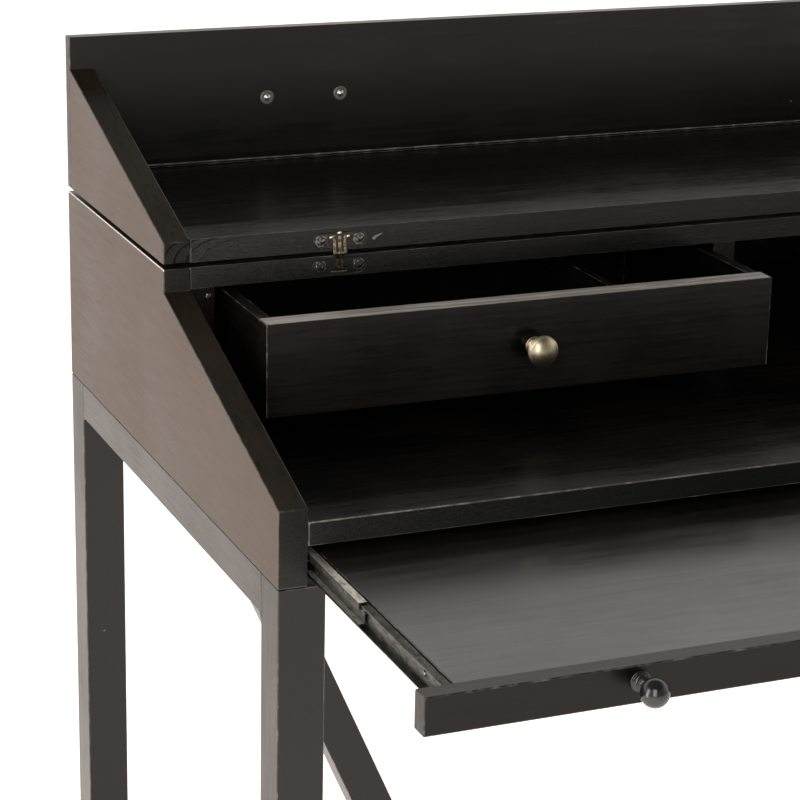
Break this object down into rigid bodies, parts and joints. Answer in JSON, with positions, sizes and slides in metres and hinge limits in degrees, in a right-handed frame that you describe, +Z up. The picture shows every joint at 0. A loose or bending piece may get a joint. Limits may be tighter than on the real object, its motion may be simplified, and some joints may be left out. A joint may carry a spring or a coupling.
{
  "type": "writing desk with drawers",
  "caption": "Black lacquered writing desk with a fold-back lid, small drawers under the top board, a pull-out writing tray and square legs with leaning struts at the back.",
  "frame": {"origin": "on the floor, under the middle of the whole desk as it stands with the tray out", "axes": "+Z up, +X to the right of someone sitting at it, front towards -Y"},
  "size_m": [1.2, 0.861, 1.0127],
  "materials": {
    "lacquer": "black satin lacquer over fine-grained wood, worn lighter on the arrises",
    "brass": "antique bronze-brass, softly polished",
    "gloss_black": "high gloss black enamel",
    "zinc": "zinc-plated sheet steel, slightly dull",
    "dark_steel": "darkened steel, painted over with the lacquer"
  },
  "bodies": {
    "frame": {"apron_back": "lacquer", "apron_left": "lacquer", "apron_right": "lacquer", "back_panel": "lacquer", "brace_left": "lacquer", "brace_right": "lacquer", "floor_board": "lacquer", "floor_lipping": "lacquer", "hanger_inner_left": "lacquer", "hanger_inner_right": "lacquer", "hanger_outer_left": "lacquer", "hanger_outer_right": "lacquer", "hinge_lower_left": "dark_steel", "hinge_lower_right": "dark_steel", "leg_back_left": "lacquer", "leg_back_right": "lacquer", "leg_front_left": "lacquer", "leg_front_right": "lacquer", "runner_inner_left": "lacquer", "runner_inner_right": "lacquer", "runner_outer_left": "lacquer", "runner_outer_right": "lacquer", "side_panel_left": "lacquer", "side_panel_right": "lacquer", "slide_fixed_left": "zinc", "slide_fixed_right": "zinc", "top_board": "lacquer", "top_lipping": "lacquer"},
    "lid": {"hinge_upper_left": "dark_steel", "hinge_upper_right": "dark_steel", "lid_board": "lacquer", "lid_cheek_left": "lacquer", "lid_cheek_right": "lacquer", "lid_front_panel": "lacquer", "lid_handle_left": "brass", "lid_handle_right": "brass", "lid_lipping": "lacquer", "lid_rear_strip": "lacquer"},
    "left_drawer": {"left_drawer_back": "lacquer", "left_drawer_bottom": "lacquer", "left_drawer_divider": "lacquer", "left_drawer_front": "lacquer", "left_drawer_knob": "brass", "left_drawer_side_left": "lacquer", "left_drawer_side_right": "lacquer"},
    "right_drawer": {"right_drawer_back": "lacquer", "right_drawer_bottom": "lacquer", "right_drawer_divider": "lacquer", "right_drawer_front": "lacquer", "right_drawer_knob": "brass", "right_drawer_side_left": "lacquer", "right_drawer_side_right": "lacquer"},
    "slide_middle_left": {"slide_middle_left": "zinc"},
    "slide_middle_right": {"slide_middle_right": "zinc"},
    "tray": {"slide_moving_left": "zinc", "slide_moving_right": "zinc", "tray_front": "lacquer", "tray_knob_left": "gloss_black", "tray_knob_right": "gloss_black", "tray_panel": "lacquer"}
  },
  "joints": [
    {"name": "lid_hinge", "type": "hinge", "parent": "frame", "child": "lid", "pos_m": [0, 0.12568, 0.879], "axis": [1, 0, 0], "range_deg": [0, 180]},
    {"name": "left_drawer_slide", "type": "slide", "parent": "frame", "child": "left_drawer", "axis": [0, -1, 0], "range_m": [-0.1, 0.07]},
    {"name": "right_drawer_slide", "type": "slide", "parent": "frame", "child": "right_drawer", "axis": [0, -1, 0], "range_m": [0, 0.17]},
    {"name": "tray_slide", "type": "slide", "parent": "frame", "child": "tray", "axis": [0, -1, 0], "range_m": [-0.247, 0.043]},
    {"name": "slide_middle_left_travel", "type": "slide", "parent": "frame", "child": "slide_middle_left", "axis": [0, -1, 0], "range_m": [-0.1235, 0.0215]},
    {"name": "slide_middle_right_travel", "type": "slide", "parent": "frame", "child": "slide_middle_right", "axis": [0, -1, 0], "range_m": [-0.1235, 0.0215]}
  ],
  "couplings": [
    {"joint": "slide_middle_left_travel", "follows": "tray_slide", "ratio": 0.5},
    {"joint": "slide_middle_right_travel", "follows": "tray_slide", "ratio": 0.5}
  ]
}
